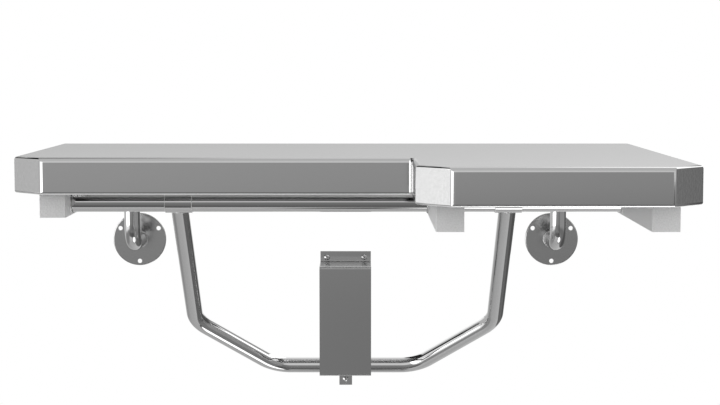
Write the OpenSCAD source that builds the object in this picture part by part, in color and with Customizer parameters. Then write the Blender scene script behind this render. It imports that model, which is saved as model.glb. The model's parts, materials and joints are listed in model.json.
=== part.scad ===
// Fold down wall seat: a steel pan on a tube frame, hinged to two wall flanges and held level
// by a U-shaped leg whose bottom bar slides in a guide on the wall.
// X runs along the wall, Y points into the wall and Z up. The wall face is the plane Y = 0,
// and the origin lies midway between the centres of the two wall flanges.

/* [Seat pan] */
// Overhang of the pan beyond the middle of the left wall flange
left_over = 107; // [100:1:130]
// Overhang of the pan beyond the middle of the right wall flange
right_over = 109; // [102:1:130]
// Gap between the rear edge of the pan and the wall
wall_gap = 23.5; // [23:0.5:26]
// Reach of the short side of the pan from the wall
short_reach = 393; // [385:1:420]
// Reach of the long side of the pan from the wall
long_reach = 572; // [560:1:620]
// Place of the step between the short side and the long side
step_x = 82.5; // [70:0.5:88]
// Length of each corner cut along the edges that it joins
corner_cut = 39; // [20:1:42]
// Height of the pan
pan_h = 45; // [35:0.5:46]
// Thickness of the pan's sheet
pan_sheet = 1.5; // [0.8:0.1:2.5]
// Outer radius of the top edges
edge_r = 6; // [4:0.5:8]
// Outer radius of the top edges on the corner cuts
cut_edge_r = 3; // [2.8:0.1:5]
// Outer radius of the upright bends
bend_r = 5; // [3:0.5:8]
// Radius of the hollow bend at the step
step_bend_r = 3; // [2:0.5:8]
// Outer radius of the lower edges
hem_r = 3.5; // [2.8:0.1:6]
// Width of the lip that turns in under the pan
lip_w = 20; // [14:1:20]
// Width of each slot in the rear of the pan for the folded leg
slot_w = 40; // [38:1:50]
// Height of the strip left above each slot
slot_strip = 4.5; // [4:0.1:6]

/* [Frame] */
// Width and height of the square rails
rail = 32; // [30:0.5:34]
// Wall of the square rails
rail_wall = 2; // [1.5:0.1:3]
// Gap between the left rail and the lip beside it, seen from below
rail_left_gap = 9; // [2:0.5:12]
// Gap between the middle rail and the lip beside it
rail_mid_gap = 4.5; // [2:0.5:30]
// Gap between the right rail and the lip beside it
rail_right_gap = 3; // [2:0.5:20]
// Distance of the front of the left rail behind the front of the pan
rail_short_inset = 47; // [40:1:60]
// Distance of the front of the other rails behind the front of the pan
rail_long_inset = 50; // [42:1:90]
// Length of the rails behind the hinge
rail_back = 22; // [14:1:28]
// Thickness of the plates that close the rails
cap_t = 2; // [1:0.1:4]
// Height of the middle of the rails above the wall flanges
rail_z = 78.5; // [76:0.5:90]
// Thickness of the stiffeners' sheet
stiff_sheet = 1.5; // [1:0.1:2.5]
// Width of each flange of a stiffener
stiff_flange = 14; // [8:1:14]

/* [Support leg] */
// Diameter of the cross tube
cross_d = 25.4; // [22:0.1:27]
// Distance of the cross tube behind the front of the left rail
cross_inset = 48; // [36:1:66]
// Diameter of the leg's tube
leg_d = 22.2; // [19:0.1:22.4]
// Wall of the round tubes
tube_wall = 1.6; // [1:0.1:2.5]
// Distance of each side of the leg inside the middle of the wall flange
leg_inset = 89.5; // [83:0.5:98]
// Half the length of the bottom bar, out to where its bends would meet
bar_half = 103; // [95:1:120]
// Length of each side of the leg, down to where its bend would meet
side_len = 271; // [266:1:276]
// Bend radius of the leg, at the middle of the tube
leg_bend_r = 55; // [45:1:60]
// Gap between the bottom bar and the wall
bar_wall_gap = 1.2; // [1:0.1:3]
// Play between the bottom bar and the floor of the guide
bar_play = 0.37; // [0.3:0.01:1]
// Length of the sleeves that turn on the cross tube
sleeve_len = 34.3; // [25:0.1:45]
// Wall of the sleeves
sleeve_wall = 1.25; // [1:0.05:2]
// Running clearance of the sleeves and of the hinge pins, on the radius
run_gap = 0.05; // [0.02:0.01:0.09]

/* [Wall flanges and hinge] */
// Distance of each wall flange from the middle
post_x = 298; // [285:1:305]
// Diameter of the wall flanges
flange_d = 76.2; // [74:0.1:90]
// Thickness of the wall flanges
flange_t = 4.8; // [3.5:0.1:8]
// Radius of the flanges' rim
rim_r = 1.5; // [0.5:0.1:2.5]
// Distance of the middle of each screw hole from the rim
hole_inset = 6.35; // [6:0.05:9]
// Diameter of the screw holes
hole_d = 6.4; // [4:0.1:7]
// Number of screw holes in each flange
hole_count = 3; // [2:1:8]
// Angle of the first screw hole, from the flange's right side
first_hole = 30; // [0:1:90]
// Depth of the flanges' socket for the tube
socket_depth = 2.4; // [1:0.1:3]
// Diameter of the tubes that carry the hinge
post_d = 22.2; // [19:0.1:22.2]
// Distance of the hinge from the wall
hinge_out = 80; // [79:0.5:84]
// Height of the hinge above the middle of the rails
hinge_rise = 2.5; // [2:0.1:3.5]
// Bend radius of the tubes that carry the hinge
post_bend_r = 30; // [26:1:34]
// Outer diameter of the hinge eyes
eye_d = 30; // [28:0.5:32]
// Length of the hinge eyes
eye_len = 30; // [24:1:34]
// Diameter of the hinge pins
pin_d = 19; // [16:0.1:20]
// Wall of the hinge bushes
bush_wall = 2.4; // [1.5:0.1:2.8]
// Thickness of the bushes' flanges
bush_flange_t = 1.5; // [1:0.1:3]
// Width of the collars
collar_w = 12; // [9:0.5:14]
// Diameter of the collars
collar_d = 30; // [26:0.5:32]
// Diameter of the grub screws in the collars
grub_d = 5; // [3:0.5:6]
// Outer diameter of the spacers between the rails and the hinge
spacer_d = 25; // [23:0.5:28]

/* [Wall guide] */
// Width of the guide
guide_w = 73; // [60:0.5:90]
// Thickness of the guide's plate
guide_t = 2; // [1.5:0.1:2.4]
// Distance of the guide's face from the wall
guide_out = 66.5; // [66.4:0.1:75]
// Height of the top edge of the guide
guide_top = -18; // [-20:0.5:-12]
// Height of the strip on the wall above the ledge
strip_h = 15; // [12.6:0.1:24]
// Height of the guide's face below the ledge
face_h = 155.5; // [150:0.5:160]
// Drop of the guide's floor from the face to the wall
floor_drop = 9.2; // [8.8:0.1:12]
// Inner radius of the guide's bends
guide_bend_r = 1; // [0.5:0.1:2]
// Width of the tab at the bottom
tab_w = 18.5; // [14:0.5:30]
// Length of the tab below the guide's floor
tab_h = 16.3; // [13:0.1:24]
// Distance of the upper screws from the sides of the guide
screw_inset = 9.5; // [7:0.5:20]
// Height of the upper screws above the ledge
screw_rise = 6.2; // [5.6:0.1:8]
// Distance of the lower screw below the guide's floor
tab_screw_drop = 7.7; // [7:0.1:8.5]
// Diameter of the screws' heads
head_d = 8.3; // [7:0.1:9]
// Height of the screws' heads
head_h = 2.8; // [2:0.1:3.5]
// Diameter of the screws' shanks
shank_d = 4.2; // [3:0.1:5]
// Length of the shanks beyond the wall face
shank_len = 30; // [15:1:45]

/* [Hidden] */
$fn = 96;
// How far each cut runs past the surface that it opens
over = 1;
// Gap between faces that turn past each other
side_gap = 0.3;
// Gap between a screw and the edge of its hole
screw_gap = 0.15;
// Depth by which the thread of a screw stands out from its neck in the guide's plate
thread_step = 0.2;
// Play between the leg and the slots in the pan
slot_gap = 3;
// Play between a stiffener and the lips of the pan
stiff_gap = 0.5;
// Distance that a stiffener stays behind the front of its rail
stiff_back = 6;
// Length of a hinge pin past its collar
pin_end = 3;
// Gap between a grub screw and the surfaces near its ends
grub_gap = 0.2;
// Length by which the leg's straight tubes run into its bends
join_len = 0.3;
// Extra radius of the leg's tube round its bends
bend_swell = 0.01;
// Steps in each bend of the guide
bend_steps = 6;

seat_left = post_x + left_over;
seat_right = post_x + right_over;
pan_low = rail_z + rail / 2;
pan_top = pan_low + pan_h;
rail_left_x = -(seat_left - lip_w - rail_left_gap - rail / 2);
rail_mid_x = step_x + lip_w + rail_mid_gap + rail / 2;
rail_right_x = seat_right - lip_w - rail_right_gap - rail / 2;
rail_short_reach = short_reach - rail_short_inset;
rail_long_reach = long_reach - rail_long_inset;
rail_rear = hinge_out - rail_back;
hinge_z = rail_z + hinge_rise;
cross_out = rail_short_reach - cross_inset;
leg_x = post_x - leg_inset;

// The guide, and the bottom bar just above its sloping floor
guide_inner_out = guide_out - guide_t;
ledge_z = guide_top - strip_h;
face_low = ledge_z - face_h;
floor_z = face_low - floor_drop;
floor_slope = floor_drop / guide_out;
floor_stretch = norm([floor_drop, guide_out]) / guide_out;
floor_lift = guide_t * floor_stretch;
bar_out = leg_d / 2 + bar_wall_gap;
bar_z = floor_z + floor_lift + floor_slope * bar_out + floor_stretch * (leg_d / 2 + bar_play);
leg_tilt = atan2(cross_out - bar_out, rail_z - bar_z);
leg_len = norm([cross_out - bar_out, rail_z - bar_z]);
corner_turn = atan2(leg_x - bar_half, leg_len - side_len);
sleeve_bore = cross_d + 2 * run_gap;
sleeve_d = sleeve_bore + 2 * sleeve_wall;
bush_bore = pin_d + 2 * run_gap;
bush_d = bush_bore + 2 * bush_wall;
bush_face = eye_len / 2 + bush_flange_t;

// Places of the guide's screws on the wall
screw_places = [
    [screw_inset - guide_w / 2, ledge_z + screw_rise],
    [guide_w / 2 - screw_inset, ledge_z + screw_rise],
    [0, floor_z - tab_screw_drop]];

// Corners of the pan seen from above, anticlockwise from the rear left one
pan_outline = [
    [-seat_left, -wall_gap],
    [-seat_left, corner_cut - short_reach],
    [corner_cut - seat_left, -short_reach],
    [step_x, -short_reach],
    [step_x, corner_cut - long_reach],
    [step_x + corner_cut, -long_reach],
    [seat_right - corner_cut, -long_reach],
    [seat_right, corner_cut - long_reach],
    [seat_right, -wall_gap]];
step_corner = 3;
top_radii = [edge_r, cut_edge_r, edge_r, edge_r, cut_edge_r, edge_r, cut_edge_r, edge_r, edge_r];
low_radii = [for (p = pan_outline) hem_r];

function unit(v) = v / norm(v);
function turned_left(v) = [-v.y, v.x];
function corner(p, i) = p[(i + len(p)) % len(p)];
function edge_dir(p, i) = unit(corner(p, i + 1) - corner(p, i));
function edge_in(p, i) = turned_left(edge_dir(p, i));

// The outline p with every edge moved in by t
function inset(p, t) = [for (i = [0 : len(p) - 1])
    p[i] + t * (edge_in(p, i - 1) + edge_in(p, i)) / (1 + edge_in(p, i - 1) * edge_in(p, i))];

// Arc that rounds the corner b between a and c with radius r
function round_corner(a, b, c, r) =
    let (u = unit(a - b), v = unit(c - b), half = acos(u * v) / 2,
        centre = b + unit(u + v) * r / sin(half),
        foot_a = b + u * r / tan(half) - centre, foot_c = b + v * r / tan(half) - centre,
        start = atan2(foot_a.y, foot_a.x), span = atan2(foot_c.y, foot_c.x) - start,
        turn = span > 180 ? span - 360 : span < -180 ? span + 360 : span)
    [for (k = [0 : bend_steps]) let (w = start + turn * k / bend_steps)
        centre + r * [cos(w), sin(w)]];

// Side view plane: x of the children is the distance from the wall and y the height
module side_plane(x) {
    translate([x, 0, 0]) rotate([90, 0, -90]) children();
}

// Bar that removes the sharp edge above a rounded one, with r its radius
module edge_cutter(r, length) {
    rotate([90, 0, 90]) linear_extrude(length) difference() {
        translate([-over, -r]) square([r + over, r + over]);
        translate([r, -r]) circle(r);
    }
}

// Same round edge swept through the hollow bend at the step
module step_cutter(r, bend) {
    rotate_extrude(angle = 90) difference() {
        translate([bend - over, -r]) square([r + over, r + over]);
        translate([bend + r, -r]) circle(r);
    }
}

// Upright wedge that removes the sharp corner outside a bend
module bend_cutter(p, i, r, h) {
    centre = inset(p, r)[i];
    difference() {
        linear_extrude(h) polygon([centre, centre - edge_in(p, i - 1) * (r + over),
            inset(p, -over)[i], centre - edge_in(p, i) * (r + over)]);
        translate([centre.x, centre.y, -over]) cylinder(r = r, h = h + 2 * over);
    }
}

// Round edges along every side of the outline p, with one radius for each
module rim_cutter(p, radii, bend) {
    for (i = [0 : len(p) - 1]) {
        from = i == step_corner ? bend : -2 * edge_r;
        to = norm(corner(p, i + 1) - p[i]) + (i == step_corner - 1 ? -bend : 2 * edge_r);
        translate(p[i]) rotate([0, 0, atan2(edge_dir(p, i).y, edge_dir(p, i).x)])
            translate([from, 0, 0]) edge_cutter(radii[i], to - from);
    }
    translate(p[step_corner] - [bend, bend]) step_cutter(radii[step_corner], bend);
}

// Solid of the pan's outline moved in by t, from low to high, with its bends and round edges
module pan_block(t, low, high) {
    p = inset(pan_outline, t);
    step_bend = step_bend_r + t;
    difference() {
        union() {
            translate([0, 0, low]) linear_extrude(high - low) polygon(p);
            translate([p[step_corner].x - step_bend, p[step_corner].y - step_bend, low])
                difference() {
                    cube([step_bend + over, step_bend + over, high - low]);
                    translate([0, 0, -over]) cylinder(r = step_bend, h = high - low + 2 * over);
                }
        }
        for (i = [0 : len(p) - 1]) if (i != step_corner)
            translate([0, 0, low - over]) bend_cutter(p, i, bend_r - t, high - low + 2 * over);
        translate([0, 0, high]) rim_cutter(p, [for (r = top_radii) r - t], step_bend);
        translate([0, 0, low]) mirror([0, 0, 1])
            rim_cutter(p, [for (r = low_radii) r - t], step_bend);
    }
}

module seat_pan() {
    slot_y = wall_gap + lip_w + over;
    color([0.78, 0.79, 0.80]) difference() {
        pan_block(0, pan_low, pan_top);
        pan_block(pan_sheet, pan_low + pan_sheet, pan_top - pan_sheet);
        translate([0, 0, pan_low - over]) linear_extrude(pan_sheet + 2 * over)
            polygon(inset(pan_outline, lip_w));
        for (side = [0, 1]) mirror([side, 0, 0])
            translate([leg_x + leg_d / 2 + slot_gap - slot_w, -slot_y, pan_low - over])
                cube([slot_w, slot_y, pan_h - slot_strip + over]);
    }
}

// Hat section between the top of the pan and the rail below it
module stiffener(x, reach) {
    w = rail / 2;
    h = pan_h - pan_sheet;
    s = stiff_sheet;
    rear = wall_gap + lip_w + stiff_gap;
    front = reach - stiff_back;
    color([0.62, 0.63, 0.65]) translate([x, -rear, pan_low]) rotate([90, 0, 0])
        linear_extrude(front - rear) difference() {
            union() {
                translate([-w, 0]) square([2 * w, h]);
                translate([-w - stiff_flange, h - s]) square([2 * (w + stiff_flange), s]);
            }
            translate([s - w, s]) square([2 * (w - s), h]);
        }
}

// Square tube with a hole across it of the given diameter, out from the wall and height
module square_rail(x, reach, hole, out, z) {
    inner = rail - 2 * rail_wall;
    length = reach - rail_rear - 2 * cap_t;
    color([0.74, 0.75, 0.76]) difference() {
        translate([x - rail / 2, cap_t - reach, rail_z - rail / 2]) cube([rail, length, rail]);
        translate([x - inner / 2, cap_t - reach - over, rail_z - inner / 2])
            cube([inner, length + 2 * over, inner]);
        side_plane(x) translate([out, z]) cylinder(d = hole, h = 2 * rail, center = true);
    }
}

module rail_cap(x, out) {
    color([0.80, 0.81, 0.82])
        translate([x - rail / 2, -out, rail_z - rail / 2]) cube([rail, cap_t, rail]);
}

module cross_tube() {
    from = rail_left_x + rail / 2;
    length = rail_right_x - rail / 2 - from;
    color([0.70, 0.71, 0.72]) translate([from, -cross_out, rail_z]) rotate([0, 90, 0])
        difference() {
            cylinder(d = cross_d, h = length);
            translate([0, 0, -over]) cylinder(d = cross_d - 2 * tube_wall, h = length + 2 * over);
        }
}

module leg_sleeve(x) {
    color([0.76, 0.77, 0.78]) translate([x - sleeve_len / 2, -cross_out, rail_z])
        rotate([0, 90, 0]) difference() {
            cylinder(d = sleeve_d, h = sleeve_len);
            translate([0, 0, -over]) cylinder(d = sleeve_bore, h = sleeve_len + 2 * over);
        }
}

// Side of the leg as a round bar of diameter d, in the leg's own plane with y running down it
module leg_side(d) {
    lower_turn = 90 - corner_turn;
    upper_foot = leg_bend_r * tan(corner_turn / 2) - join_len;
    lower_foot = leg_bend_r * tan(lower_turn / 2) - join_len;
    slant = norm([leg_x - bar_half, leg_len - side_len]);
    translate([leg_x, 0]) rotate([-90, 0, 0]) cylinder(d = d, h = side_len - upper_foot);
    translate([leg_x - leg_bend_r, side_len - leg_bend_r * tan(corner_turn / 2)])
        leg_bend(d, corner_turn);
    translate([leg_x, side_len]) rotate([0, 0, corner_turn]) translate([0, upper_foot])
        rotate([-90, 0, 0]) cylinder(d = d, h = slant - upper_foot - lower_foot);
    translate([bar_half - leg_bend_r * tan(lower_turn / 2), leg_len - leg_bend_r])
        rotate([0, 0, corner_turn]) leg_bend(d, lower_turn);
}

// Bend of the leg, a hair fatter than the straight tubes that run into its ends
module leg_bend(d, turn) {
    rotate_extrude(angle = turn) translate([leg_bend_r, 0]) circle(d = d + 2 * bend_swell);
}

module leg_bar(d) {
    straight = bar_half - leg_bend_r * tan((90 - corner_turn) / 2) + join_len;
    for (side = [0, 1]) mirror([side, 0, 0]) leg_side(d);
    translate([0, leg_len]) rotate([0, 90, 0]) cylinder(d = d, h = 2 * straight, center = true);
}

module support_leg() {
    color([0.72, 0.73, 0.75]) translate([0, -cross_out, rail_z]) rotate([leg_tilt - 90, 0, 0])
        difference() {
            leg_bar(leg_d);
            leg_bar(leg_d - 2 * tube_wall);
            rotate([0, 90, 0]) cylinder(d = sleeve_d, h = 3 * leg_x, center = true);
        }
}

module wall_flange(x) {
    color([0.66, 0.67, 0.68]) translate([x, 0, 0]) rotate([90, 0, 0]) difference() {
        rotate_extrude() {
            square([flange_d / 2 - rim_r, flange_t]);
            square([flange_d / 2, flange_t - rim_r]);
            translate([flange_d / 2 - rim_r, flange_t - rim_r]) circle(rim_r);
        }
        translate([0, 0, flange_t - socket_depth]) cylinder(d = post_d, h = flange_t);
        for (i = [0 : hole_count - 1]) rotate([0, 0, first_hole + i * 360 / hole_count])
            translate([flange_d / 2 - hole_inset, 0, -over])
                cylinder(d = hole_d, h = flange_t + 2 * over);
    }
}

// Round bar of diameter d from the flange's socket, round the bend and up to the hinge
module post_bar(d) {
    start = flange_t - socket_depth;
    translate([start, 0]) rotate([0, 90, 0])
        cylinder(d = d, h = hinge_out - post_bend_r - start);
    translate([hinge_out - post_bend_r, post_bend_r]) rotate([0, 0, -90])
        rotate_extrude(angle = 90) translate([post_bend_r, 0]) circle(d = d);
    translate([hinge_out, post_bend_r]) rotate([-90, 0, 0])
        cylinder(d = d, h = hinge_z - post_bend_r);
}

module support_tube(x) {
    color([0.74, 0.75, 0.77]) side_plane(x) difference() {
        post_bar(post_d);
        post_bar(post_d - 2 * tube_wall);
        translate([hinge_out, hinge_z]) cylinder(d = eye_d, h = eye_len, center = true);
    }
}

module hinge_eye(x) {
    color([0.72, 0.73, 0.74]) side_plane(x) translate([hinge_out, hinge_z]) difference() {
        cylinder(d = eye_d, h = eye_len, center = true);
        cylinder(d = bush_d, h = eye_len + 2 * over, center = true);
    }
}

// Flanged nylon bush; side is 1 where its flange faces right and -1 where it faces left
module hinge_bush(x, side) {
    length = eye_len / 2 - side_gap;
    color([0.92, 0.92, 0.90]) translate([x + side * bush_face, -hinge_out, hinge_z])
        rotate([0, -90 * side, 0]) difference() {
            union() {
                cylinder(d = eye_d, h = bush_flange_t);
                cylinder(d = bush_d, h = bush_flange_t + length);
            }
            translate([0, 0, -over]) cylinder(d = bush_bore, h = length + bush_flange_t + 2 * over);
        }
}

// Cylinder along the hinge line, from the distance a to the distance b from the middle
module hinge_rod(side, a, b, d) {
    translate([side * min(a, b), -hinge_out, hinge_z]) rotate([0, side * 90, 0])
        cylinder(d = d, h = abs(b - a));
}

module hinge_pin(side, rail_x) {
    color([0.68, 0.69, 0.71]) hinge_rod(side,
        post_x - bush_face - side_gap - collar_w - pin_end, abs(rail_x) + rail / 2, pin_d);
}

module hinge_spacer(side, rail_x) {
    from = post_x + bush_face + side_gap;
    to = abs(rail_x) - rail / 2;
    color([0.58, 0.59, 0.61]) difference() {
        hinge_rod(side, from, to, spacer_d);
        hinge_rod(side, from - over, to + over, pin_d);
    }
}

module hinge_collar(side) {
    to = post_x - bush_face - side_gap;
    from = to - collar_w;
    color([0.64, 0.65, 0.67]) difference() {
        hinge_rod(side, from, to, collar_d);
        hinge_rod(side, from - over, to + over, pin_d);
        translate([side * (from + collar_w / 2), -hinge_out, hinge_z]) mirror([0, 0, 1])
            cylinder(d = grub_d, h = collar_d);
    }
}

module collar_screws() {
    length = (collar_d - pin_d) / 2 - 2 * grub_gap;
    color([0.35, 0.35, 0.37]) for (side = [-1, 1])
        translate([side * (post_x - bush_face - side_gap - collar_w / 2), -hinge_out,
            hinge_z - pin_d / 2 - grub_gap - length])
            cylinder(d = grub_d, h = length);
}

// Side view of the guide's plate, from the top edge on the wall down to the tab
module guide_profile() {
    t = guide_t;
    inner = guide_bend_r;
    outer = guide_bend_r + t;
    face_top = [guide_out, ledge_z];
    face_end = [guide_out, face_low];
    heel = [0, floor_z];
    toe = [t, floor_z + floor_slope * t];
    tab_low = floor_z - tab_h;
    top_in = [t, ledge_z];
    top_back = [0, ledge_z - t];
    inner_top = [guide_inner_out, ledge_z - t];
    inner_low = [guide_inner_out, face_low - floor_slope * t + floor_lift];
    inner_heel = [0, floor_z + floor_lift];
    polygon(concat(
        [[0, guide_top], [t, guide_top]],
        round_corner([t, guide_top], top_in, face_top, inner),
        round_corner(top_in, face_top, face_end, outer),
        round_corner(face_top, face_end, toe, outer),
        round_corner(face_end, toe, [t, tab_low], inner),
        [[t, tab_low], [0, tab_low]],
        round_corner([0, tab_low], inner_heel, inner_low, outer),
        round_corner(inner_heel, inner_low, inner_top, inner),
        round_corner(inner_low, inner_top, top_back, inner),
        round_corner(inner_top, top_back, [0, guide_top], outer)));
}

module guide_bracket() {
    cut_w = (guide_w - tab_w) / 2;
    color([0.60, 0.61, 0.62]) difference() {
        side_plane(0) translate([0, 0, -guide_w / 2]) linear_extrude(guide_w) guide_profile();
        for (side = [0, 1]) mirror([side, 0, 0])
            translate([tab_w / 2, -guide_t - over, floor_z - tab_h - over])
                cube([cut_w + over, guide_t + 2 * over, tab_h - guide_bend_r + over]);
        for (place = screw_places) screw_hole(place.x, place.y);
    }
}

module screw_hole(x, z) {
    translate([x, over, z]) rotate([90, 0, 0])
        cylinder(d = shank_d + 2 * screw_gap, h = guide_t + 2 * over);
}

// Pan head screw through the guide's plate into the wall
module wall_screw(x, z) {
    dome_r = (head_d * head_d / 4 + head_h * head_h) / (2 * head_h);
    neck_d = shank_d - 2 * thread_step;
    translate([x, -guide_t, z]) rotate([90, 0, 0]) {
        intersection() {
            cylinder(d = head_d, h = head_h);
            translate([0, 0, head_h - dome_r]) sphere(dome_r);
        }
        translate([0, 0, -guide_t]) cylinder(d = neck_d, h = guide_t);
        translate([0, 0, -guide_t - shank_len]) cylinder(d = shank_d, h = shank_len);
    }
}

module bracket_screws() {
    color([0.82, 0.82, 0.83]) for (place = screw_places) wall_screw(place.x, place.y);
}

wall_flange(-post_x);  // wall_flange_left
wall_flange(post_x);  // wall_flange_right
support_tube(-post_x);  // support_tube_left
support_tube(post_x);  // support_tube_right
hinge_eye(-post_x);  // hinge_eye_left
hinge_eye(post_x);  // hinge_eye_right
hinge_bush(-post_x, -1);  // hinge_bush_left_outer
hinge_bush(-post_x, 1);  // hinge_bush_left_inner
hinge_bush(post_x, 1);  // hinge_bush_right_outer
hinge_bush(post_x, -1);  // hinge_bush_right_inner
guide_bracket();
bracket_screws();
seat_pan();
stiffener(rail_left_x, rail_short_reach);  // stiffener_left
stiffener(rail_mid_x, rail_long_reach);  // stiffener_middle
stiffener(rail_right_x, rail_long_reach);  // stiffener_right
square_rail(rail_left_x, rail_short_reach, pin_d, hinge_out, hinge_z);  // frame_rail_left
square_rail(rail_mid_x, rail_long_reach, cross_d, cross_out, rail_z);  // frame_rail_middle
square_rail(rail_right_x, rail_long_reach, pin_d, hinge_out, hinge_z);  // frame_rail_right
rail_cap(rail_left_x, rail_short_reach);  // front_cap_left
rail_cap(rail_mid_x, rail_long_reach);  // front_cap_middle
rail_cap(rail_right_x, rail_long_reach);  // front_cap_right
rail_cap(rail_left_x, rail_rear + cap_t);  // rear_cap_left
rail_cap(rail_mid_x, rail_rear + cap_t);  // rear_cap_middle
rail_cap(rail_right_x, rail_rear + cap_t);  // rear_cap_right
cross_tube();
hinge_pin(-1, rail_left_x);  // hinge_pin_left
hinge_pin(1, rail_right_x);  // hinge_pin_right
hinge_spacer(-1, rail_left_x);  // hinge_spacer_left
hinge_spacer(1, rail_right_x);  // hinge_spacer_right
hinge_collar(-1);  // hinge_collar_left
hinge_collar(1);  // hinge_collar_right
collar_screws();
leg_sleeve(-leg_x);  // leg_sleeve_left
leg_sleeve(leg_x);  // leg_sleeve_right
support_leg();
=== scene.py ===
import json
import math

import bmesh
import bpy
from mathutils import Matrix, Vector

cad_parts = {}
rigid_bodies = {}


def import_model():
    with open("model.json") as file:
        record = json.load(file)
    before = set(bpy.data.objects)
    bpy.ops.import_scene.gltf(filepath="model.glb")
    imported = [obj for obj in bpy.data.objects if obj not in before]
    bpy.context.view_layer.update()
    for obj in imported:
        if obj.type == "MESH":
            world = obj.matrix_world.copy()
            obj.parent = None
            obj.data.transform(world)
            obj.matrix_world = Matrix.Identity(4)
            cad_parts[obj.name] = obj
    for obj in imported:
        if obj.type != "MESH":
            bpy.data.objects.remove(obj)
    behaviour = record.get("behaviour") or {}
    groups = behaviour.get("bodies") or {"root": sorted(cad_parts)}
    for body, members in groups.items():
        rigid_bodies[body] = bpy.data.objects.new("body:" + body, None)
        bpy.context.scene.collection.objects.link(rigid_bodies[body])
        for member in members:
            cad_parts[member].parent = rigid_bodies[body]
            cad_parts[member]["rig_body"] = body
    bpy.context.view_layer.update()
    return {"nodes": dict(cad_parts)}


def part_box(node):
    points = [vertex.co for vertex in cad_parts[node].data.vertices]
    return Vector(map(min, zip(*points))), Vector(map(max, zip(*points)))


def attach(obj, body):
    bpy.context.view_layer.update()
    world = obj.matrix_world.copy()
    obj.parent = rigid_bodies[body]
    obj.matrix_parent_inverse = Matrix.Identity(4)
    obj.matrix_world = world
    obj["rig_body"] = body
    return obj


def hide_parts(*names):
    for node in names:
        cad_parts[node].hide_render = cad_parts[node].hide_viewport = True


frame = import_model()
MM = 0.001


# The camera
# The photograph was taken with a long lens from just above the seat, a little
# right of its middle. Its place and lens were worked out from the flanges and the pan.
PHOTO_W = 720
FOCAL_PX = 1659.9
SENSOR_W = 36.0
CAMERA_PLACE = (20.8 * MM, -2393.7 * MM, 252.1 * MM)
CAMERA_TILT = 4.762


def add(name, data):
    """A new object in the scene."""
    made = bpy.data.objects.new(name, data)
    bpy.context.scene.collection.objects.link(made)
    return made


camera_data = bpy.data.cameras.new("photo_camera")
camera_data.sensor_width = SENSOR_W
camera_data.lens = FOCAL_PX / PHOTO_W * SENSOR_W
camera = add("photo_camera", camera_data)
camera.location = CAMERA_PLACE
camera.rotation_euler = (math.radians(90 - CAMERA_TILT), 0, 0)
bpy.context.scene.camera = camera
bpy.context.scene.view_settings.view_transform = "Standard"


# The studio
# A white room: a pale patch of floor below the seat, soft boxes overhead and to both
# sides, and a dimmer side behind the camera that gives the steel its tones.
class Wire:
    """A socket of a node tree, which Python's operators can work on."""

    def __init__(self, tree, socket=None):
        self.tree, self.socket = tree, socket

    def node(self, kind, settings=None, inputs=None, out=0):
        """A new node with its settings and inputs, as a wire from one of its outputs."""
        made = self.tree.nodes.new(kind)
        for key, value in (settings or {}).items():
            if key == "stops":
                ramp = made.color_ramp
                for index, (at, colour) in enumerate(value):
                    stop = ramp.elements[index] if index < 2 else ramp.elements.new(at)
                    stop.position, stop.color = at, (*colour, 1.0)
            else:
                setattr(made, key, value)
        for key, value in (inputs or {}).items():
            if isinstance(value, Wire):
                self.tree.links.new(value.socket, made.inputs[key])
            elif value is not None:
                made.inputs[key].default_value = value
        return Wire(self.tree, made.outputs[out]) if len(made.outputs) else made

    def maths(self, operation, *values):
        return self.node("ShaderNodeMath", {"operation": operation}, dict(enumerate(values)))

    def apply(self, operation, *values):
        return self.maths(operation, self, *values)

    def __add__(self, other):
        return self.apply("ADD", other)

    def __radd__(self, other):
        return self.maths("ADD", other, self)

    def __sub__(self, other):
        return self.apply("SUBTRACT", other)

    def __rsub__(self, other):
        return self.maths("SUBTRACT", other, self)

    def __mul__(self, other):
        return self.apply("MULTIPLY", other)

    def __rmul__(self, other):
        return self.maths("MULTIPLY", other, self)

    def __truediv__(self, other):
        return self.apply("DIVIDE", other)

    def smooth(self, low, high):
        """0 below low, 1 above high, and a soft step between."""
        return self.node(
            "ShaderNodeMapRange",
            {"interpolation_type": "SMOOTHSTEP"},
            {"Value": self, "From Min": low, "From Max": high},
        )

    def blend(self, other, share):
        """This value, with a share of it given up to the other one."""
        return self + (other - self) * share

    def swing(self, amount):
        """How far a noise moves a value that it leaves alone on average."""
        return (self - 0.5) * amount

    def axes(self):
        made = self.tree.nodes.new("ShaderNodeSeparateXYZ")
        self.tree.links.new(self.socket, made.inputs[0])
        return [Wire(self.tree, output) for output in made.outputs]

    def grey(self):
        return self.node("ShaderNodeCombineColor", None, dict.fromkeys(range(3), self))

    def rays(self):
        """Whether a ray was sent by the camera, mirrored, or let through."""
        kinds = ("Is Camera Ray", "Is Glossy Ray", "Is Transmission Ray")
        return [self.node("ShaderNodeLightPath", out=kind) for kind in kinds]


world = bpy.data.worlds.new("studio")
bpy.context.scene.world = world
world.use_nodes = True
world.node_tree.nodes.clear()
room = Wire(world.node_tree)
# Brightness of the room round the seat's long axis, by the angle up from the front
ROUND_LEVELS = (
    (-180, 0.94), (-166, 0.80), (-150, 0.62), (-112, 0.64), (-92, 0.60), (-62, 0.72),
    (-60, 0.10), (-44, 0.07), (-40, 0.20), (-14, 0.26), (-11, 0.275), (-7.2, 0.295),
    (-6.8, 0.33), (-5.2, 0.34), (-4.9, 0.43), (-3.4, 0.455), (0, 0.46), (3, 0.92),
    (12, 0.98), (30, 0.84), (45, 0.76), (90, 0.72), (122, 1.05), (150, 1.50), (166, 1.50),
    (172, 1.25), (175.5, 1.50), (177.3, 0.62), (180, 0.45),
)
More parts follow.
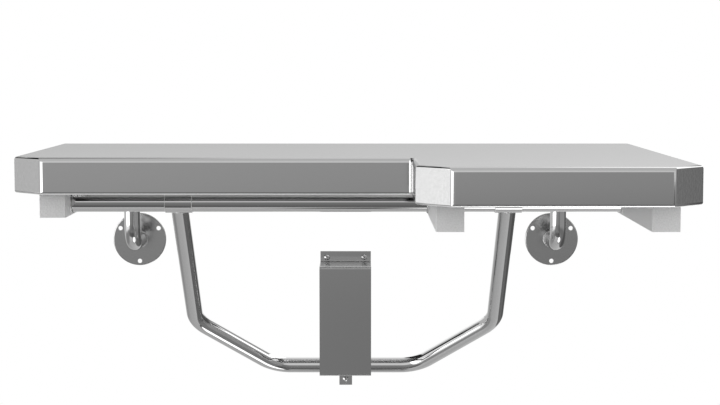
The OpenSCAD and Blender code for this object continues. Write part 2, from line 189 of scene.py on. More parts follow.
# How much the room brightens to the right, and how much more so towards the wall
RIGHT_GAIN, RIGHT_BACK_GAIN = 0.1, 0.35
toward = room.node("ShaderNodeTexCoord")
camera_ray, mirror_ray, clear_ray = room.rays()
east, north, up = toward.axes()
south = 0 - north
turn = up.apply("ARCTAN2", south) / (2 * math.pi) + 0.5
stops = [((angle + 180) / 360, (level, level, level)) for angle, level in ROUND_LEVELS]
around = room.node("ShaderNodeValToRGB", {"stops": stops}, {"Fac": turn})
around = around.axes()[0] + east * (north * RIGHT_BACK_GAIN + RIGHT_GAIN)
# The left side is grey with a soft box, which steel mirrors brighter than it shines, most
# of all at the front. An edge is where a part of the direction looked in fades in and is full
LEFT_LEVEL, LEFT_RISE, LEFT_STEP = 0.34, 0.38, (-0.45, -0.25)
BOX_LEVEL, BOX_BACK, BOX_FOOT = 0.70, (-0.15, -0.05), (-0.5, -0.3)
BOX_MIRRORED, FRONT_MIRRORED, FRONT_EDGE, FRONT_FOOT = 0.66, 2.2, (0.1, 0.3), (-0.25, -0.12)
box_front = south.smooth(*FRONT_EDGE) * up.smooth(*FRONT_FOOT) * FRONT_MIRRORED
box_level = BOX_LEVEL + mirror_ray * (BOX_MIRRORED + box_front)
left_level = LEFT_LEVEL + up.smooth(*LEFT_STEP) * LEFT_RISE
left_level = left_level.blend(box_level, south.smooth(*BOX_BACK) * up.smooth(*BOX_FOOT))
# Grey flags keep the right side dark, least at the front and overhead
FLAG_LEVEL, FLAG_BACK, FLAG_FOOT = 0.12, (-0.35, 0.0), (-0.45, -0.2)
FLAG_FRONT_RISE, FLAG_FRONT_HIGH, FLAG_TOP, FLAG_TOP_RISE = 0.12, 0.18, (0.1, 0.5), 0.4
flag_front = up.smooth(*FLAG_FOOT) * FLAG_FRONT_HIGH + FLAG_FRONT_RISE
flag_level = FLAG_LEVEL + south.smooth(*FLAG_BACK) * flag_front
flag_level = flag_level + up.smooth(*FLAG_TOP) * FLAG_TOP_RISE
LEFT_EDGE, RIGHT_EDGE = (0.5, 0.62), (0.32, 0.38)
level = around.blend(left_level, (0 - east).smooth(*LEFT_EDGE))
level = level.blend(flag_level, east.smooth(*RIGHT_EDGE))
# The elbows mirror a lamp on the floor inside a dark hood. The bends over the corner
# panels mirror three dark flags high on the left and three soft boxes high on the right.
# Each spot has an aim, the cosines of the angles off it where it ends and where it is
# full, and a level
LAMP_AIM = (0.26, -0.24, -0.935)
HIGH_LEANS, HIGH_EDGE, HIGH_RISE = (26, 40, 51), (0.940, 0.965), 0.707
spots = [(LAMP_AIM, (0.945, 0.958), 0.08), (LAMP_AIM, (0.966, 0.978), 2.60)]
for side, strength in ((-1, 0.03), (1, 2.20)):
    for lean in map(math.radians, HIGH_LEANS):
        aim = (side * math.cos(lean) ** 2, math.sin(lean) ** 2, math.sin(2 * lean) * HIGH_RISE)
        spots.append((aim, HIGH_EDGE, strength))
for aim, edge, strength in spots:
    facing = toward.node(
        "ShaderNodeVectorMath", {"operation": "DOT_PRODUCT"}, {0: toward, 1: aim}, out="Value"
    )
    level = level.blend(strength, facing.smooth(*edge))
# Steel shows part of the white background that lies behind the seat
BACKDROP_EDGE, BACKDROP_HALF, BACKDROP_SOFT, BACKDROP_SHARE = (0.8, 0.97), 0.06, 0.12, 0.3
off_level = BACKDROP_HALF - up.apply("ABSOLUTE")
behind = north.smooth(*BACKDROP_EDGE) * off_level.smooth(-BACKDROP_SOFT, 0.0)
white_share = camera_ray + (mirror_ray + clear_ray) * behind * BACKDROP_SHARE
lit = room.node("ShaderNodeBackground", None, {"Color": level.grey(), "Strength": 1.0})
white = room.node("ShaderNodeBackground", None, {"Color": (1, 1, 1, 1), "Strength": 1.0})
shown = room.node("ShaderNodeMixShader", None, {0: white_share, 1: lit, 2: white})
room.node("ShaderNodeOutputWorld", None, {"Surface": shown})


def blank(name):
    """A new material without nodes, and a wire that adds them."""
    made = bpy.data.materials.new(name)
    made.use_nodes = True
    made.node_tree.nodes.clear()
    return made, Wire(made.node_tree)


FLOOR_PLACE, FLOOR_R = (0, -200 * MM, -340 * MM), 600 * MM
FLOOR_COLOUR, FLOOR_GLOW = (0.85, 0.85, 0.85, 1), 1.08
SEEN_GLOW, MIRRORED_GLOW, MIRRORED_GAP = 0.86, 0.3, 0.9
floor_mesh = bpy.data.meshes.new("floor")
shape = bmesh.new()
bmesh.ops.create_circle(shape, cap_ends=True, radius=FLOOR_R, segments=128)
bmesh.ops.translate(shape, verts=shape.verts, vec=FLOOR_PLACE)
shape.to_mesh(floor_mesh)
shape.free()
floor = add("floor", floor_mesh)
floor_paint, paint = blank("floor_paint")
camera_ray, mirror_ray, clear_ray = paint.rays()
glow = paint.node("ShaderNodeEmission", None, {"Color": (1, 1, 1, 1), "Strength": FLOOR_GLOW})
matt = paint.node("ShaderNodeBsdfDiffuse", None, {"Color": FLOOR_COLOUR})
open_air = paint.node("ShaderNodeBsdfTransparent")
pale_share = camera_ray * SEEN_GLOW + (mirror_ray + clear_ray) * MIRRORED_GLOW
pale = paint.node("ShaderNodeMixShader", None, {0: pale_share, 1: matt, 2: glow})
# Steel mirrors the far room more than this small patch of floor
patch_share = 1 - (mirror_ray + clear_ray) * MIRRORED_GAP
floor_look = paint.node("ShaderNodeMixShader", None, {0: patch_share, 1: open_air, 2: pale})
paint.node("ShaderNodeOutputMaterial", None, {"Surface": floor_look})
floor_mesh.materials.append(floor_paint)

# Each lamp's name, place, width and power
LAMP_TARGET = Vector((0, -0.3, 0))
for lamp_name, place, width, power in (
    ("overhead_box", (0.3, -0.6, 2.3), 1.8, 14.0),
    ("left_box", (-1.6, -2.0, 0.0), 1.0, 1.5),
    ("right_box", (1.6, -2.0, -0.1), 1.0, 16.0),
):
    lamp_data = bpy.data.lights.new(lamp_name, "AREA")
    lamp_data.size = width
    lamp_data.energy = power
    lamp = add(lamp_name, lamp_data)
    lamp.location = place
    lamp.rotation_euler = (LAMP_TARGET - Vector(place)).to_track_quat("-Z", "Y").to_euler()
    lamp.visible_glossy = False


# Seat pan
# One sheet of 1.5 mm stainless steel, folded down all round with cut corners and a lip
# turned in underneath. It is satin finished, and its corner panels keep a coarser grain.
LEFT_BENDS, FRONT_Y, PAN_BEND_R = (-363.9, 123.6), (-393, -572), 5
HOLLOW_X, HOLLOW_R = 82.5, 3
# The front panels run out of their left bends over a few mm
RUN_OUT, RUN_OUT_SLOPE = 2.5, 0.34
# Scales of the noises along and across the grain and of the slow clouds
GRAIN_ALONG, GRAIN_ACROSS, CLOUDS = 40, 2600, 5.0
ROUGH_GRAIN, ROUGH_CLOUD = 0.5, 0.4


def steel(name, tone, roughness, grain=0.0, grain_axis="x", speckle=0.0, cloud=0.03, relief=0.0,
          relief_size=1.1, metallic=1.0, rim_tone=1.0, bend_x=None):
    """Satin or polished stainless steel with a drawn grain, a speckle and slow cloudiness.

    With bend_x its surface sinks a little on its way out of an upright bend that ends there.
    """
    made, wire = blank(name)
    place = wire.node("ShaderNodeTexCoord", out="Object")
    stretch = [GRAIN_ALONG if axis == grain_axis else GRAIN_ACROSS for axis in "xyz"]
    drawn = wire.node("ShaderNodeMapping", None, {"Vector": place, "Scale": stretch})
    lines, specks, clouds = (
        wire.node("ShaderNodeTexNoise", None, {"Vector": at, "Scale": scale, "Detail": detail})
        for at, scale, detail in (
            (drawn, 1.0, 2.0), (place, 1 / MM / relief_size, 1.5), (place, CLOUDS, 2.0)
        )
    )
    mottle = 1 + clouds.swing(cloud) + specks.swing(speckle) + lines.swing(grain)
    rough = roughness * (1 + lines.swing(ROUGH_GRAIN) + clouds.swing(ROUGH_CLOUD))
    bump = None
    if relief:
        height = specks * relief
        if bend_x is not None:
            short = (bend_x + RUN_OUT - place.axes()[0] * (1 / MM)).apply("MAXIMUM", 0.0)
            near_part = short.apply("MINIMUM", RUN_OUT)
            height = height - near_part * (short - near_part * 0.5) * (RUN_OUT_SLOPE / RUN_OUT)
        bump = wire.node(
            "ShaderNodeBump", None, {"Strength": 1.0, "Distance": MM, "Height": height}
        )
    body = wire.node(
        "ShaderNodeBsdfPrincipled",
        None,
        {
            "Base Color": (mottle * tone).grey(), "Metallic": metallic, "Roughness": rough,
            "Normal": bump, "Specular Tint": (rim_tone, rim_tone, rim_tone, 1),
        },
    )
    wire.node("ShaderNodeOutputMaterial", None, {"Surface": body})
    return made


def settle(piece):
    """The piece's modifiers go into its mesh."""
    bpy.context.view_layer.update()
    seen_now = piece.evaluated_get(bpy.context.evaluated_depsgraph_get())
    mesh = bpy.data.meshes.new_from_object(seen_now)
    piece.modifiers.clear()
    piece.data = mesh


MERGE_GAP = 2e-6
FLAT_ANGLE, CRISP_ANGLE, BEVEL_ANGLE = (math.radians(angle) for angle in (0.2, 32, 40))


def dress(node, material, bevel=0.0):
    """A merged copy of a CAD node with smooth bends and crisp edges, which stands for it."""
    source = frame["nodes"][node]
    mesh = source.data.copy()
    shape = bmesh.new()
    shape.from_mesh(mesh)
    bmesh.ops.remove_doubles(shape, verts=shape.verts, dist=MERGE_GAP)
    bmesh.ops.dissolve_limit(
        shape, angle_limit=FLAT_ANGLE, verts=shape.verts, edges=shape.edges
    )
    for face in shape.faces:
        face.smooth = True
    for edge in shape.edges:
        edge.smooth = len(edge.link_faces) == 2 and edge.calc_face_angle(0) < CRISP_ANGLE
    shape.to_mesh(mesh)
    shape.free()
    mesh.materials.clear()
    mesh.materials.append(material)
    piece = add(node + "_piece", mesh)
    if bevel:
        rounding = piece.modifiers.new("rounding", "BEVEL")
        rounding.width = bevel
        rounding.segments = 3
        rounding.limit_method = "ANGLE"
        rounding.angle_limit = BEVEL_ANGLE
    flats = piece.modifiers.new("flats", "WEIGHTED_NORMAL")
    flats.mode = "FACE_AREA"
    flats.weight = 100
    flats.keep_sharp = True
    settle(piece)
    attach(piece, frame["nodes"][node]["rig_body"])
    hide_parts(node)
    return piece


front_steel = [
    steel("front_steel", 0.57, 0.08, grain=0.03, relief=0.003, rim_tone=0.45, bend_x=bend_x)
    for bend_x in LEFT_BENDS
]
pan_steel = steel("pan_steel", 0.57, 0.08, grain=0.03, relief=0.003, rim_tone=0.45)
bend_steel = steel("bend_steel", 0.60, 0.22, grain=0.03, relief=0.003)
mill_steel = steel("mill_steel", 0.60, 0.32, grain=0.04, cloud=0.08, relief=0.002)
# The hem's downward-leaning bends get a much lighter copy of the pan's steel: a painted highlight
# along the bottom edge
hem_painted_highlight = steel("hem_painted_highlight", 0.92, 0.12, grain=0.03, relief=0.003)
corner_steel = steel(
    "corner_steel", 0.57, 0.14, grain=0.02, speckle=0.14, relief=0.08, relief_size=3.5
)
pan = dress("seat_pan", pan_steel)
for material in (corner_steel, bend_steel, hem_painted_highlight, mill_steel, *front_steel):
    pan.data.materials.append(material)
# A face's normal and middle tell which steel it has; the deep front's steel comes last
CORNER, BEND, HEM, MILL, FRONT = range(1, 6)
CORNER_LEAN, BEND_LEAN, UPRIGHT, FACES_FRONT = 0.69, 0.05, 0.02, -0.99
HEM_TOP, HEM_END = -0.4, -0.95
DEEP_Y, BEND_REACH = -500 * MM, 4
for face in pan.data.polygons:
    lean = min(abs(face.normal.x), abs(face.normal.y))
    deep = int(face.center.y < DEEP_Y)
    if lean > CORNER_LEAN:
        face.material_index = CORNER
    elif lean > BEND_LEAN and abs(face.normal.z) < UPRIGHT:
        off_bend = abs(face.center.x / MM - LEFT_BENDS[deep])
        at_left_bend = off_bend < BEND_REACH and face.normal.y < 0
        face.material_index = FRONT + deep if at_left_bend else BEND
    # Faces that lean down in the hem take the painted highlight
    elif HEM_END < face.normal.z < HEM_TOP:
        face.material_index = HEM
    elif face.normal.z < HEM_END:
        face.material_index = MILL
    elif face.normal.y < FACES_FRONT:
        face.material_index = FRONT + deep
# Three upright bends are true rounds, so their normals point along the bend's radius,
# away from its axis in the two left bends and towards it in the hollow bend of the step
ROUND_SLACK = 0.1
rounds = [(FRONT, x, y + PAN_BEND_R, PAN_BEND_R, 1) for x, y in zip(LEFT_BENDS, FRONT_Y)]
rounds.append((BEND, HOLLOW_X - HOLLOW_R, FRONT_Y[0] - HOLLOW_R, HOLLOW_R, -1))
facings = [Vector(normal.vector) for normal in pan.data.corner_normals]
for face in pan.data.polygons:
    if face.normal.y < FACES_FRONT or abs(face.normal.z) > UPRIGHT:
        continue
    for first_look, axis_x, axis_y, radius, sense in rounds:
        axis = Vector((axis_x, axis_y)) * MM
        outs = [pan.data.vertices[k].co.xy - axis for k in face.vertices]
        off_round = max(abs(out.length / MM - radius) for out in outs)
        if face.material_index < first_look or off_round > ROUND_SLACK:
            continue
        for corner, out in zip(face.loop_indices, outs):
            facings[corner] = (out * sense).normalized().to_3d()
pan.data.normals_split_custom_set(facings)


# Stiffeners
# Three hat sections folded from the same sheet, spot welded up under the pan so that
# its top does not drum or sag between the rails.
stiffener_steel = steel(
    "stiffener_steel", 0.57, 0.25, grain=0.06, grain_axis="y", relief=0.004
)
for place_name in ("left", "middle", "right"):
    stiffener = dress("stiffener_" + place_name, stiffener_steel, bevel=0.4 * MM)


# Rails and their end plates
# Square stainless tube, 32 mm across, cut to length and closed at both ends with plates
# that are welded on and ground flush, so their faces show a speckled ground finish.
rail_steel = steel(
    "rail_steel", 0.80, 0.5, grain=0.04, grain_axis="y", speckle=0.10, relief=0.05,
    relief_size=1.8, metallic=0.25,
)
cap_steel = steel(
    "cap_steel", 0.74, 0.5, speckle=0.28, relief=0.14, relief_size=1.8, metallic=0.40
)
for place_name in ("left", "middle", "right"):
    rail = dress("frame_rail_" + place_name, rail_steel, bevel=0.5 * MM)
    for end_name in ("front", "rear"):
        cap = dress(f"{end_name}_cap_{place_name}", cap_steel, bevel=0.4 * MM)


# Cross tube, leg sleeves and leg
# Round stainless tube, polished bright. The cross tube is welded between the rails; two
# sleeves turn on it and carry the leg, which is one tube bent into a U with four bends.
CROSS_OUT, CROSS_Z = 298, 78.5
CROSS_R, LEG_R, TUBE_WALL = 12.7, 11.1, 1.6
SLEEVE_R, SLEEVE_BORE_R = 14.0, 12.75
LEG_X, BAR_HALF, SIDE_LEN, LEG_BEND_R = 208.5, 103, 271, 55
BAR_OUT, BAR_Z = 12.3, -182.4
RIM_ROUND, RIM_LEAN = 0.45, 0.3
BEND_STEP = 2.5
SEAM_AIM = Vector((0.36, 0.48, 0.8))


def bent_path(corners, bend_r):
    """Points in mm along straight lines that are joined by round bends."""
    points = [Vector(corners[0])]
    for before, corner, after in zip(corners, corners[1:], corners[2:]):
        corner = Vector(corner)
        back, ahead = (Vector(before) - corner).normalized(), (Vector(after) - corner).normalized()
        half = back.angle(ahead) / 2
        middle = corner + (back + ahead).normalized() * bend_r / math.sin(half)
        first = corner + back * bend_r / math.tan(half) - middle
        axis, bend = back.cross(ahead).normalized(), math.pi - 2 * half
        steps = max(2, math.ceil(math.degrees(bend) / BEND_STEP))
        for step in range(steps + 1):
            turned = Matrix.Rotation(-bend * step / steps, 3, axis) @ first
            points.append(middle + turned)
    return points + [Vector(corners[-1])]


def sweep_tube(name, path, outer, bore, material, copes=(0, 0), around=80):
    """A tube along a path in mm. A cope is the radius of the round that an end is cut to fit."""
    last = len(path) - 1
    ends = {0: (-1, copes[0]), last: (1, copes[1])}
    ahead = [(path[min(k + 1, last)] - path[max(k - 1, 0)]).normalized() for k in range(last + 1)]
    side = ahead[0].cross(SEAM_AIM).normalized()
    shape = bmesh.new()
    rings = []
    for k, centre in enumerate(path):
        side = (side - ahead[k] * side.dot(ahead[k])).normalized()
        other = ahead[k].cross(side)
        sense, cope = ends.get(k, (0, 0))
        rows = [(outer, 0), (bore, 0)]
        if sense and not cope:
            rim, mouth = outer - RIM_ROUND, bore + RIM_ROUND
            rows = [(outer, RIM_ROUND), (rim, 0), (mouth, 0), (bore, RIM_ROUND)]
        made = []
        for radius, back in rows:
            ring = []
            for n in range(around):
                turn = 2 * math.pi * n / around
                out = (side * math.cos(turn) + other * math.sin(turn)) * radius
                place = centre + out - ahead[k] * sense * back
                if cope:
                    across = out.length_squared - out.x * out.x
                    place += ahead[k] * sense * (cope - math.sqrt(cope * cope - across))
                ring.append(shape.verts.new(place * MM))
            made.append(ring)
        rings.append(made)

    def band(one, two):
        for n in range(around):
            m = (n + 1) % around
            shape.faces.new((one[n], one[m], two[m], two[n]))

    for here, there in zip(rings, rings[1:]):
        band(here[0], there[0])
        band(here[-1], there[-1])
    for end in (rings[0], rings[-1]):
        for one, two in zip(end, end[1:]):
            band(one, two)
    bmesh.ops.recalc_face_normals(shape, faces=shape.faces)
    for face in shape.faces:
        face.smooth = True
    for edge in shape.edges:
        edge.smooth = edge.calc_face_angle(0) < CRISP_ANGLE
    mesh = bpy.data.meshes.new(name)
    shape.to_mesh(mesh)
    shape.free()
    mesh.materials.append(material)
    return add(name, mesh)


def stand_for(piece, node):
    """The piece takes the place of a CAD node and moves with the node's body."""
    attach(piece, frame["nodes"][node]["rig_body"])
    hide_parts(node)


def cross_line(node):
    """Where a CAD node begins and ends along the line of the cross tube, in mm."""
    return [Vector((corner[0] / MM, -CROSS_OUT, CROSS_Z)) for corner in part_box(node)]


tube_steel = steel("tube_steel", 0.57, 0.025, grain=0.02)
cut_steel = steel("cut_steel", 0.95, 0.5, speckle=0.05, metallic=0.3)
cross_tube = sweep_tube(
    "cross_tube_bright", cross_line("cross_tube"), CROSS_R, CROSS_R - TUBE_WALL, tube_steel
)
stand_for(cross_tube, "cross_tube")
for side_name in ("left", "right"):
    ends = cross_line("leg_sleeve_" + side_name)
    sleeve = sweep_tube(side_name + "_sleeve_bright", ends, SLEEVE_R, SLEEVE_BORE_R, tube_steel)
    sleeve.data.materials.append(cut_steel)
    for face in sleeve.data.polygons:
        face.material_index = int(abs(face.normal.x) > RIM_LEAN)
    stand_for(sleeve, "leg_sleeve_" + side_name)

leg_top = Vector((0, -CROSS_OUT, CROSS_Z))
down = Vector((0, -BAR_OUT, BAR_Z)) - leg_top
leg_len = down.length
down.normalize()
leg_corners = [
    leg_top + Vector((x, 0, 0)) + down * reach
    for x, reach in (
        (LEG_X, SLEEVE_R), (LEG_X, SIDE_LEN), (BAR_HALF, leg_len),
        (-BAR_HALF, leg_len), (-LEG_X, SIDE_LEN), (-LEG_X, SLEEVE_R),
    )
]
leg_path = bent_path(leg_corners, LEG_BEND_R)
leg = sweep_tube(
    "leg_bright", leg_path, LEG_R, LEG_R - TUBE_WALL, tube_steel, copes=(SLEEVE_R, SLEEVE_R)
)
stand_for(leg, "support_leg")

# A weld bead is a string of drops along a closed line. Inputs 2 and 3 of a random value
# are the least and the most that a number can be
DROP_SIZES = {2: 0.92, 3: 1.0}
weld_tree = bpy.data.node_groups.new("weld_bead", "GeometryNodeTree")
for socket_name, kind in (
    ("Path", "Geometry"), ("Bead Radius", "Float"), ("Ripple Pitch", "Float"), ("Steel", "Material")
):
    weld_tree.interface.new_socket(socket_name, in_out="INPUT", socket_type="NodeSocket" + kind)
weld_tree.interface.new_socket("Bead", in_out="OUTPUT", socket_type="NodeSocketGeometry")
flow = Wire(weld_tree)
weld_in = weld_tree.nodes.new("NodeGroupInput").outputs
path_in, bead_r, pitch, bead_steel = (Wire(weld_tree, weld_in[n]) for n in range(4))
seam = flow.node("GeometryNodeMeshToCurve", None, {"Mesh": path_in})
seam = flow.node("GeometryNodeResampleCurve", {"mode": "LENGTH"}, {"Curve": seam, "Length": pitch})
drop = flow.node("GeometryNodeMeshUVSphere", None, {"Segments": 12, "Rings": 8, "Radius": bead_r})
tangent = flow.node("GeometryNodeInputTangent")
along = flow.node("FunctionNodeAlignRotationToVector", {"axis": "Z"}, {"Vector": tangent})
swell = flow.node(
    "FunctionNodeRandomValue", {"data_type": "FLOAT"}, {**DROP_SIZES, "Seed": 7}, out=1
)
drops = flow.node(
    "GeometryNodeInstanceOnPoints", None,
    {"Points": seam, "Instance": drop, "Rotation": along, "Scale": swell},
)
beads = flow.node("GeometryNodeRealizeInstances", None, {"Geometry": drops})
beads = flow.node("GeometryNodeSetShadeSmooth", None, {"Geometry": beads})
beads = flow.node("GeometryNodeSetMaterial", None, {"Geometry": beads, "Material": bead_steel})
flow.node("NodeGroupOutput", None, {0: beads})


def line_round(centre, radius, axis, reach=lambda out: 0.0, steps=48):
    """Closed line round an axis in mm; reach says how far each point lies along the axis."""
    axis = Vector(axis).normalized()
    side = axis.orthogonal().normalized()
    line = []
    for n in range(steps):
        turn = 2 * math.pi * n / steps
        out = (side * math.cos(turn) + axis.cross(side) * math.sin(turn)) * radius
        line.append(Vector(centre) + out + axis * reach(out))
    return line


def run_nodes(piece, tree, values):
    """A geometry node tree makes the piece's mesh from these values of its inputs."""
    maker = piece.modifiers.new(tree.name, "NODES")
    maker.node_group = tree
    names = {item.name: item.identifier for item in tree.interface.items_tree}
    for socket_name, value in values.items():
        maker[names[socket_name]] = value
    settle(piece)


def weld(name, body, lines, radius, ripple):
    """Weld beads along closed lines, which move with a body. Lengths are in mm."""
    mesh = bpy.data.meshes.new(name)
    places = [place * MM for line in lines for place in line]
    links, first = [], 0
    for line in lines:
        links += [(first + n, first + (n + 1) % len(line)) for n in range(len(line))]
        first += len(line)
    mesh.from_pydata(places, links, [])
    piece = add(name, mesh)
    bead = {"Bead Radius": radius * MM, "Ripple Pitch": ripple * MM, "Steel": weld_steel}
    run_nodes(piece, weld_tree, bead)
    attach(piece, body)


def to_round(radius):
    """How far along its axis each point of a line lies on a round tube of that radius."""
    return lambda out: math.sqrt(radius * radius - (out.length_squared - out.x * out.x))


BUTT_OFF, SEAM_OFF = 0.4, 0.2
weld_steel = steel(
    "weld_steel", 0.66, 0.16, cloud=0.15, speckle=0.05, relief=0.02, relief_size=0.8
)
cross_left, cross_right = cross_line("cross_tube")
middle_left, middle_right = cross_line("frame_rail_middle")
cross_welds = [
    line_round(place, CROSS_R + BUTT_OFF, (1, 0, 0))
    for place in (cross_left, middle_left, middle_right, cross_right)
]
weld("cross_tube_welds", "seat", cross_welds, radius=2.0, ripple=0.7)
leg_welds = [
    line_round(leg_top + Vector((x, 0, 0)), LEG_R + SEAM_OFF, down, to_round(SLEEVE_R))
    for x in (-LEG_X, LEG_X)
]
weld("leg_welds", "leg", leg_welds, radius=0.9, ripple=0.6)


# Wall flanges and the tubes that carry the hinge
# Each flange is a turned stainless disc with three screw holes; its tube stands in a
# socket, is welded round, and bends up to the hinge eye under the pan.
POST_X, POST_BEND_R, HINGE_OUT, HINGE_Z, EYE_R = 298, 30, 80, 81, 15
FLANGE_T, SOCKET_OUT = 4.8, 2.4
flange_steel = steel("flange_steel", 0.50, 0.18, speckle=0.02, relief=0.002)
post_welds = []
for side_name, x in (("left", -POST_X), ("right", POST_X)):
    flange = dress("wall_flange_" + side_name, flange_steel)
    post_corners = [(x, -SOCKET_OUT, 0), (x, -HINGE_OUT, 0), (x, -HINGE_OUT, HINGE_Z - EYE_R)]
    post_path = bent_path(post_corners, POST_BEND_R)
    post = sweep_tube(
        side_name + "_post_bright", post_path, LEG_R, LEG_R - TUBE_WALL, tube_steel, (0, EYE_R)
    )
    stand_for(post, "support_tube_" + side_name)
    eye = dress("hinge_eye_" + side_name, tube_steel, bevel=0.3 * MM)
    post_welds += [
        line_round((x, -FLANGE_T, 0), LEG_R + BUTT_OFF, (0, 1, 0)),
        line_round((x, -HINGE_OUT, HINGE_Z), LEG_R + SEAM_OFF, (0, 0, -1), to_round(EYE_R)),
    ]
weld("post_welds", "wall_support", post_welds, radius=1.2, ripple=0.7)


# Hinge pins, bushes, spacers and collars
# A solid pin through each outer rail turns in two flanged nylon bushes; a spacer holds
# the rail off the bush, and a collar with a grub screw holds the pin in.
NYLON_TONE, NYLON_BLUE, NYLON_MOTTLE = 0.78, 0.96, 0.06
NYLON_ROUGH, NYLON_ROUGH_MOTTLE = 0.5, 0.15
nylon, moulding = blank("nylon")
moulding_place = moulding.node("ShaderNodeTexCoord", out="Object")
mottle = moulding.node("ShaderNodeTexNoise", None, {"Vector": moulding_place, "Scale": 120.0})
shade = NYLON_TONE + mottle.swing(NYLON_MOTTLE)
nylon_tint = moulding.node(
    "ShaderNodeCombineColor", None, {0: shade, 1: shade, 2: shade * NYLON_BLUE}
)
nylon_rough = NYLON_ROUGH + mottle.swing(NYLON_ROUGH_MOTTLE)
nylon_body = moulding.node(
    "ShaderNodeBsdfPrincipled", None, {"Base Color": nylon_tint, "Roughness": nylon_rough}
)
moulding.node("ShaderNodeOutputMaterial", None, {"Surface": nylon_body})
turned_steel = steel("turned_steel", 0.58, 0.15, grain=0.08, relief=0.003)
for side_name in ("left", "right"):
    for end_name in ("outer", "inner"):
        bush = dress(f"hinge_bush_{side_name}_{end_name}", nylon, bevel=0.2 * MM)
    for kind in ("pin", "spacer", "collar"):
        turned = dress(f"hinge_{kind}_{side_name}", turned_steel, bevel=0.4 * MM)
grubs = dress("collar_screws", turned_steel, bevel=0.1 * MM)


# Wall guide
# A strip of 2 mm stainless plate, folded out from the wall and back, behind whose face
# the bottom bar of the leg slides. It is screwed on through its top edge and bottom tab.
PLATE_T, LEDGE_LEAN = 2, 0.5
guide_steel = steel("guide_steel", 0.57, 0.07, grain=0.02, relief=0.001)
# The level faces of the strip get a darker, rougher copy of its steel: painted shade on the top
# edge and ledge
ledge_painted_shade = steel("ledge_painted_shade", 0.48, 0.20, grain=0.02, relief=0.001, rim_tone=0.6)
guide = dress("guide_bracket", guide_steel)
guide.data.materials.append(ledge_painted_shade)
# Faces that lie level take the painted shade
for face in guide.data.polygons:
    face.material_index = int(abs(face.normal.z) > LEDGE_LEAN)

# Its three pan head screws, with sizes in mm
screw_steel = steel("screw_steel", 0.7, 0.12, speckle=0.05, relief=0.003)
SCREW_PLACES = ((-27, -26.8), (27, -26.8), (0, -205.4))
SCREW_SIZES = {
    "Head Diameter": 8.3, "Head Height": 2.8, "Shank Radius": 2.1, "Thread Depth": 0.45,
    "Thread Pitch": 1.8, "Length": 32.0,
    "Recess Width": 1.25, "Recess Length": 5.0, "Recess Depth": 1.7,
}
SHANK_ROWS = {"Vertices X": 33, "Vertices Y": 161}
TIP_TAPER, TOP_TAPER = 5.5, 160
FIRST_TURN, TURN_RANGE = 0.3, {2: 0.0, 3: 0.5}
screw_tree = bpy.data.node_groups.new("cross_recess_screw", "GeometryNodeTree")
screw_tree.interface.new_socket("Places", in_out="INPUT", socket_type="NodeSocketGeometry")
for socket_name in SCREW_SIZES:
    screw_tree.interface.new_socket(socket_name, in_out="INPUT", socket_type="NodeSocketFloat")
screw_tree.interface.new_socket("Steel", in_out="INPUT", socket_type="NodeSocketMaterial")
screw_tree.interface.new_socket("Screws", in_out="OUTPUT", socket_type="NodeSocketGeometry")
flow = Wire(screw_tree)
screw_in = [Wire(screw_tree, output) for output in screw_tree.nodes.new("NodeGroupInput").outputs]
places, head_d, head_h, shank_r, thread, pitch = screw_in[:6]
length, slot_w, slot_l, slot_d, paint = screw_in[6:11]


def vector(x, y, z):
    return flow.node("ShaderNodeCombineXYZ", None, {0: x, 1: y, 2: z})


def gather(made, key, parts):
    """Links several parts to one input of a node."""
    for part in parts:
        flow.tree.links.new(part.socket, made.socket.node.inputs[key])
    return made


# The head is a slice of a ball, trimmed round and cut with a cross
head_r = head_d / 2
dome_r = (head_r * head_r + head_h * head_h) / (head_h * 2)
ball = flow.node("GeometryNodeMeshUVSphere", None, {"Segments": 64, "Rings": 48, "Radius": dome_r})
ball = flow.node(
    "GeometryNodeTransform", None, {"Geometry": ball, "Translation": vector(0, 0, head_h - dome_r)}
)
disc = flow.node(
    "GeometryNodeMeshCylinder", None, {"Vertices": 64, "Radius": head_r, "Depth": head_h * 2}
)
disc = flow.node(
    "GeometryNodeTransform", None, {"Geometry": disc, "Translation": vector(0, 0, head_h)}
)
head = flow.node("GeometryNodeMeshBoolean", {"operation": "INTERSECT"})
gather(head, "Mesh 2", (ball, disc))
arms = []
for turn in (0, math.pi / 2):
    arm = flow.node("GeometryNodeMeshCube", None, {"Size": vector(slot_l, slot_w, slot_d * 2)})
    arms.append(flow.node(
        "GeometryNodeTransform", None,
        {"Geometry": arm, "Translation": vector(0, 0, head_h), "Rotation": (0, 0, turn)},
    ))
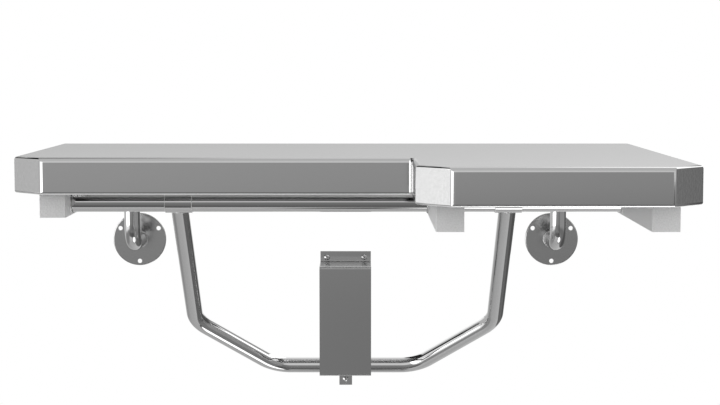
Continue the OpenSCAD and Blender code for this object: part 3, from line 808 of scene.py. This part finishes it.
crossed = flow.node("GeometryNodeMeshBoolean", {"operation": "DIFFERENCE"}, {"Mesh 1": head})
gather(crossed, "Mesh 2", arms)
# The shank is a sheet rolled up, whose radius follows the thread and closes to a point
sheet = flow.node("GeometryNodeMeshGrid", None, {"Size X": 1.0, "Size Y": 1.0, **SHANK_ROWS})
u, v, _ = flow.node("GeometryNodeInputPosition").axes()
u, v = u + 0.5, v + 0.5
depth = v * length
winding = depth / pitch + u
ridge = winding.apply("PINGPONG", 0.5) * 2
closing = ((1 - v) * TIP_TAPER).apply("MINIMUM", v * TOP_TAPER).apply("MINIMUM", 1.0)
radius = (shank_r - thread * (1 - ridge)) * closing
angle = u * (2 * math.pi)
rolled = vector(radius * angle.apply("COSINE"), radius * angle.apply("SINE"), depth * -1)
shank = flow.node("GeometryNodeSetPosition", None, {"Geometry": sheet, "Position": rolled})
shank = flow.node("GeometryNodeMergeByDistance", None, {"Geometry": shank, "Distance": 0.001})
shank = flow.node("GeometryNodeSetShadeSmooth", None, {"Geometry": shank})
both = gather(flow.node("GeometryNodeJoinGeometry"), 0, (crossed, shank))
spin = flow.node(
    "FunctionNodeRandomValue", {"data_type": "FLOAT"}, {**TURN_RANGE, "Seed": 3}, out=1
)
driven = flow.node(
    "GeometryNodeInstanceOnPoints", None,
    {
        "Points": places, "Instance": both, "Scale": (MM, MM, MM),
        "Rotation": vector(math.pi / 2, spin + FIRST_TURN, 0),
    },
)
made_screws = flow.node("GeometryNodeRealizeInstances", None, {"Geometry": driven})
made_screws = flow.node(
    "GeometryNodeSetMaterial", None, {"Geometry": made_screws, "Material": paint}
)
flow.node("NodeGroupOutput", None, {0: made_screws})

mesh = bpy.data.meshes.new("guide_screws")
mesh.from_pydata([(x * MM, -PLATE_T * MM, z * MM) for x, z in SCREW_PLACES], [], [])
screws = add("guide_screws", mesh)
run_nodes(screws, screw_tree, {**SCREW_SIZES, "Steel": screw_steel})
stand_for(screws, "bracket_screws")

bpy.context.view_layer.update()
